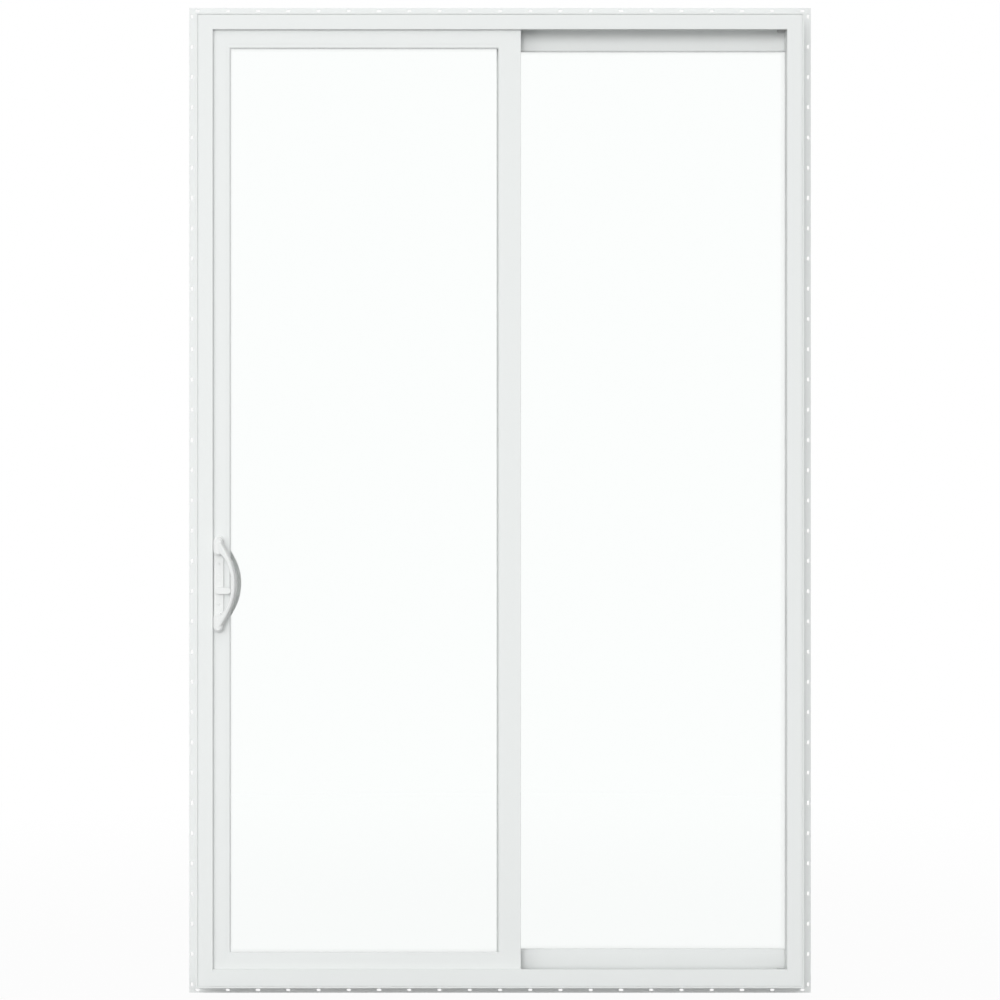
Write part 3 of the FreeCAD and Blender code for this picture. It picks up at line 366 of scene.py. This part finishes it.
def domed_head(tree, given):
    """Closed dome that stands on its own origin, with a cross cut into its top."""
    radius = calculate(tree, "MULTIPLY", given.outputs["Head Width"], 0.5)
    cone = tree.nodes.new("GeometryNodeMeshCone")
    cone.inputs["Vertices"].default_value = HEAD_SIDES
    cone.inputs["Side Segments"].default_value = HEAD_RINGS
    tree.links.new(radius, cone.inputs["Radius Bottom"])
    tree.links.new(calculate(tree, "MULTIPLY", radius, DOME_TOP_SHARE), cone.inputs["Radius Top"])
    tree.links.new(given.outputs["Head Rise"], cone.inputs["Depth"])

    # the height falls with the square of the distance from the middle
    place = tree.nodes.new("GeometryNodeInputPosition")
    split = tree.nodes.new("ShaderNodeSeparateXYZ")
    tree.links.new(place.outputs[0], split.inputs[0])
    flat = combine(tree, split.outputs["X"], split.outputs["Y"], None)
    reach = tree.nodes.new("ShaderNodeVectorMath")
    reach.operation = "LENGTH"
    tree.links.new(flat, reach.inputs[0])
    share = calculate(tree, "DIVIDE", reach.outputs["Value"], radius)
    fall = calculate(tree, "SUBTRACT", 1.0, calculate(tree, "POWER", share, 2.0))
    height = calculate(tree, "MULTIPLY", fall, given.outputs["Head Rise"])
    dome = tree.nodes.new("GeometryNodeSetPosition")
    tree.links.new(cone.outputs["Mesh"], dome.inputs["Geometry"])
    tree.links.new(combine(tree, split.outputs["X"], split.outputs["Y"], height), dome.inputs["Position"])

    shape = dome.outputs[0]
    # the second bar of the cross goes a little deeper, so that no two floors lie in one plane
    for long_way, twice in (("X", 2.0), ("Y", 2.1)):
        depth = calculate(tree, "MULTIPLY", given.outputs["Recess Depth"], twice)
        bar = tree.nodes.new("GeometryNodeMeshCube")
        length, width = given.outputs["Recess Reach"], given.outputs["Recess Width"]
        sides = (length, width) if long_way == "X" else (width, length)
        tree.links.new(combine(tree, *sides, depth), bar.inputs["Size"])
        lift = tree.nodes.new("GeometryNodeTransform")
        tree.links.new(bar.outputs["Mesh"], lift.inputs["Geometry"])
        tree.links.new(combine(tree, None, None, given.outputs["Head Rise"]), lift.inputs["Translation"])
        cut = tree.nodes.new("GeometryNodeMeshBoolean")
        cut.operation = "DIFFERENCE"
        tree.links.new(shape, cut.inputs["Mesh 1"])
        tree.links.new(lift.outputs[0], cut.inputs["Mesh 2"])
        shape = cut.outputs["Mesh"]
    return shape


def screw_tree():
    """Puts a screw head on each point, along its facing, each turned by up to a quarter by chance."""
    tree = bpy.data.node_groups.new("ScrewHeads", "GeometryNodeTree")
    tree.interface.new_socket("Points", in_out="INPUT", socket_type="NodeSocketGeometry")
    for label, value in DOMED_SCREW.items():
        socket = tree.interface.new_socket(label, in_out="INPUT", socket_type="NodeSocketFloat")
        socket.default_value = value
    seed = tree.interface.new_socket("Seed", in_out="INPUT", socket_type="NodeSocketInt")
    seed.default_value = SCREW_SEED
    tree.interface.new_socket("Finish", in_out="INPUT", socket_type="NodeSocketMaterial")
    tree.interface.new_socket("Heads", in_out="OUTPUT", socket_type="NodeSocketGeometry")
    given, result = tree.nodes.new("NodeGroupInput"), tree.nodes.new("NodeGroupOutput")

    facing = tree.nodes.new("GeometryNodeInputNamedAttribute")
    facing.data_type = "FLOAT_VECTOR"
    facing.inputs["Name"].default_value = "facing"
    upright = tree.nodes.new("FunctionNodeAlignRotationToVector")
    upright.axis = "Z"
    tree.links.new(facing.outputs["Attribute"], upright.inputs["Vector"])
    chance = tree.nodes.new("FunctionNodeRandomValue")
    chance.data_type = "FLOAT"
    turns = next(socket for socket in chance.inputs if socket.name == "Max" and socket.type == "VALUE")
    turns.default_value = math.radians(90)
    tree.links.new(given.outputs["Seed"], chance.inputs["Seed"])
    turned = next(socket for socket in chance.outputs if socket.type == "VALUE")
    spin = tree.nodes.new("FunctionNodeRotateRotation")
    spin.rotation_space = "LOCAL"
    tree.links.new(upright.outputs[0], spin.inputs["Rotation"])
    tree.links.new(combine(tree, None, None, turned), spin.inputs["Rotate By"])

    spots = tree.nodes.new("GeometryNodeInstanceOnPoints")
    tree.links.new(given.outputs["Points"], spots.inputs["Points"])
    tree.links.new(domed_head(tree, given), spots.inputs["Instance"])
    tree.links.new(spin.outputs[0], spots.inputs["Rotation"])
    real = tree.nodes.new("GeometryNodeRealizeInstances")
    tree.links.new(spots.outputs[0], real.inputs[0])
    finish = tree.nodes.new("GeometryNodeSetMaterial")
    tree.links.new(real.outputs[0], finish.inputs["Geometry"])
    tree.links.new(given.outputs["Finish"], finish.inputs["Material"])
    tree.links.new(finish.outputs[0], result.inputs["Heads"])
    return tree


def points_on(node, facing, pitch):
    """Two points, one above the other, on the middle of a node's face."""
    low, high = (Vector(corner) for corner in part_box(node))
    facing = Vector(facing)
    out = abs((high - low).dot(facing)) / 2 - SCREW_SUNK
    place = (low + high) / 2 + facing * out
    return [(place + Vector((0.0, 0.0, side * pitch / 2)), facing) for side in (-1, 1)]


def add_screws(name, body, slot, points, tree, sizes):
    """Screw heads on the points, as one plain mesh that rides on a body."""
    spots = bpy.data.meshes.new(f"{name}_points")
    spots.from_pydata([place for place, _ in points], [], [])
    facing = spots.attributes.new("facing", "FLOAT_VECTOR", "POINT")
    for entry, (_, direction) in zip(facing.data, points):
        entry.vector = direction
    piece = bpy.data.objects.new(name, spots)
    bpy.context.collection.objects.link(piece)
    growth = piece.modifiers.new("heads", "NODES")
    growth.node_group = tree
    values = {**sizes, "Finish": FINISHES[slot]}
    for socket in tree.interface.items_tree:
        if socket.in_out == "INPUT" and socket.name in values:
            growth[socket.identifier] = values[socket.name]
    grown = piece.evaluated_get(bpy.context.evaluated_depsgraph_get())
    mesh = bpy.data.meshes.new_from_object(grown)
    piece.modifiers.remove(growth)
    piece.data = mesh
    bpy.data.meshes.remove(spots)
    mesh.materials.clear()
    mesh.materials.append(FINISHES[slot])
    mesh.shade_smooth()
    mesh.set_sharp_from_angle(angle=SHARP_EDGE)
    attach(piece, body)


def build_screws():
    tree = screw_tree()
    add_screws("handle_screws", "sliding_panel", "handle_paint",
               points_on("handle_plate", (0, -1, 0), HANDLE_SCREW_PITCH), tree, DOMED_SCREW)
    for name, node, body, side in (("faceplate_screws", "lock_faceplate", "sliding_panel", -1),
                                   ("keeper_screws", "lock_keeper", "frame", 1)):
        low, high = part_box(node)
        pitch = high[2] - low[2] - 2 * PLATE_SCREW_INSET
        add_screws(name, body, "bare_metal", points_on(node, (side, 0, 0), pitch), tree, FLUSH_SCREW)


# Studio: pale floor, soft lamps, white surroundings

def build_floor():
    half = FLOOR_HALF_WIDTH
    mesh = bpy.data.meshes.new("floor")
    corners = [(-half, -half, FLOOR_HEIGHT), (half, -half, FLOOR_HEIGHT),
               (half, half, FLOOR_HEIGHT), (-half, half, FLOOR_HEIGHT)]
    mesh.from_pydata(corners, [], [(0, 1, 2, 3)])
    floor = bpy.data.objects.new("floor", mesh)
    bpy.context.collection.objects.link(floor)
    material, tree, shader = new_material("floor_white", (FLOOR_COLOUR,) * 3, 0.9)
    shader.inputs["Specular IOR Level"].default_value = 0.0
    # the lit floor shows most near the door, so that its shadow is kept, and fades to white away from it
    place = tree.nodes.new("ShaderNodeTexCoord")
    reach = tree.nodes.new("ShaderNodeVectorMath")
    reach.operation = "LENGTH"
    tree.links.new(place.outputs["Object"], reach.inputs[0])
    fade = tree.nodes.new("ShaderNodeMapRange")
    fade.interpolation_type = "SMOOTHSTEP"
    fade.inputs["From Min"].default_value = FLOOR_FADE_START
    fade.inputs["From Max"].default_value = FLOOR_FADE_END
    fade.inputs["To Min"].default_value = FLOOR_WHITE_NEAR
    fade.inputs["To Max"].default_value = 1.0
    tree.links.new(reach.outputs["Value"], fade.inputs["Value"])
    white = tree.nodes.new("ShaderNodeEmission")
    white.inputs["Color"].default_value = PLAIN_WHITE
    share = calculate(tree, "MULTIPLY", seen_rays(tree), fade.outputs["Result"])
    mix_shaders(tree, share, shader.outputs[0], white.outputs[0], tree.nodes["Material Output"])
    mesh.materials.append(material)


def build_world():
    world = bpy.data.worlds.new("studio")
    bpy.context.scene.world = world
    world.use_nodes = True
    tree = world.node_tree
    tree.nodes.clear()
    output = tree.nodes.new("ShaderNodeOutputWorld")
    sky = tree.nodes.new("ShaderNodeBackground")
    sky.inputs["Color"].default_value = SKY_LIGHT
    sky.inputs["Strength"].default_value = WORLD_STRENGTH
    white = tree.nodes.new("ShaderNodeBackground")
    white.inputs["Color"].default_value = PLAIN_WHITE
    mix_shaders(tree, seen_rays(tree), sky.outputs[0], white.outputs[0], output)


def aim(thing, place, target):
    """Puts a lamp at a place, facing a target."""
    thing.location = place
    thing.rotation_euler = (Vector(target) - Vector(place)).to_track_quat("-Z", "Y").to_euler()


def keep_off_glass(thing):
    """Keeps a wide lamp's disc out of the panes, which would mirror it over half the door."""
    spared = bpy.data.collections.new(f"{thing.name}_spared")
    for row in frame["record"]["subparts"]:
        if row["material_slot"] == "clear_glass":
            spared.objects.link(frame["nodes"][row["node"]])
    for item in spared.collection_objects:
        item.light_linking.link_state = "EXCLUDE"
    thing.light_linking.receiver_collection = spared


def new_lamp(name, kind):
    """Lamp that lights the door, with its own shape neither seen nor mirrored."""
    lamp = bpy.data.lights.new(name, kind)
    thing = bpy.data.objects.new(name, lamp)
    bpy.context.collection.objects.link(thing)
    thing.visible_camera = False
    thing.visible_glossy = False
    thing.visible_transmission = False
    keep_off_glass(thing)
    return lamp, thing


def add_sun(name, azimuth, elevation, strength, softness):
    lamp, thing = new_lamp(name, "SUN")
    lamp.energy = strength
    lamp.angle = math.radians(softness)
    side, rise = math.radians(azimuth), math.radians(elevation)
    target = (0.0, FRONT_Y, MIDDLE_HEIGHT)
    place = (target[0] - LAMP_DISTANCE * math.cos(rise) * math.sin(side),
             target[1] - LAMP_DISTANCE * math.cos(rise) * math.cos(side),
             target[2] + LAMP_DISTANCE * math.sin(rise))
    aim(thing, place, target)


def build_lamps():
    add_sun("key_lamp", KEY_AZIMUTH, KEY_ELEVATION, KEY_STRENGTH, KEY_SOFTNESS)
    add_sun("top_lamp", TOP_AZIMUTH, TOP_ELEVATION, TOP_STRENGTH, TOP_SOFTNESS)
    add_sun("back_lamp", BACK_AZIMUTH, BACK_ELEVATION, BACK_STRENGTH, BACK_SOFTNESS)
    fill, fill_thing = new_lamp("side_fill", "AREA")
    fill.shape = "DISK"
    fill.size = FILL_SIZE
    fill.energy = FILL_POWER
    aim(fill_thing, FILL_PLACE, (0.0, FRONT_Y, MIDDLE_HEIGHT))


def build_camera():
    camera = bpy.data.cameras.new("camera")
    camera.sensor_width = SENSOR
    camera.lens = SENSOR * CAMERA_DISTANCE / FRAME_WIDTH_SEEN
    camera.clip_end = CLIP_END
    thing = bpy.data.objects.new("camera", camera)
    bpy.context.collection.objects.link(thing)
    thing.location = (0.0, FRONT_Y - CAMERA_DISTANCE, MIDDLE_HEIGHT + CAMERA_RISE)
    thing.rotation_euler = (math.radians(90), 0.0, 0.0)
    bpy.context.scene.camera = thing


dress_nodes()
build_screws()
build_floor()
build_world()
build_lamps()
build_camera()
bpy.context.scene.view_settings.view_transform = "Standard"
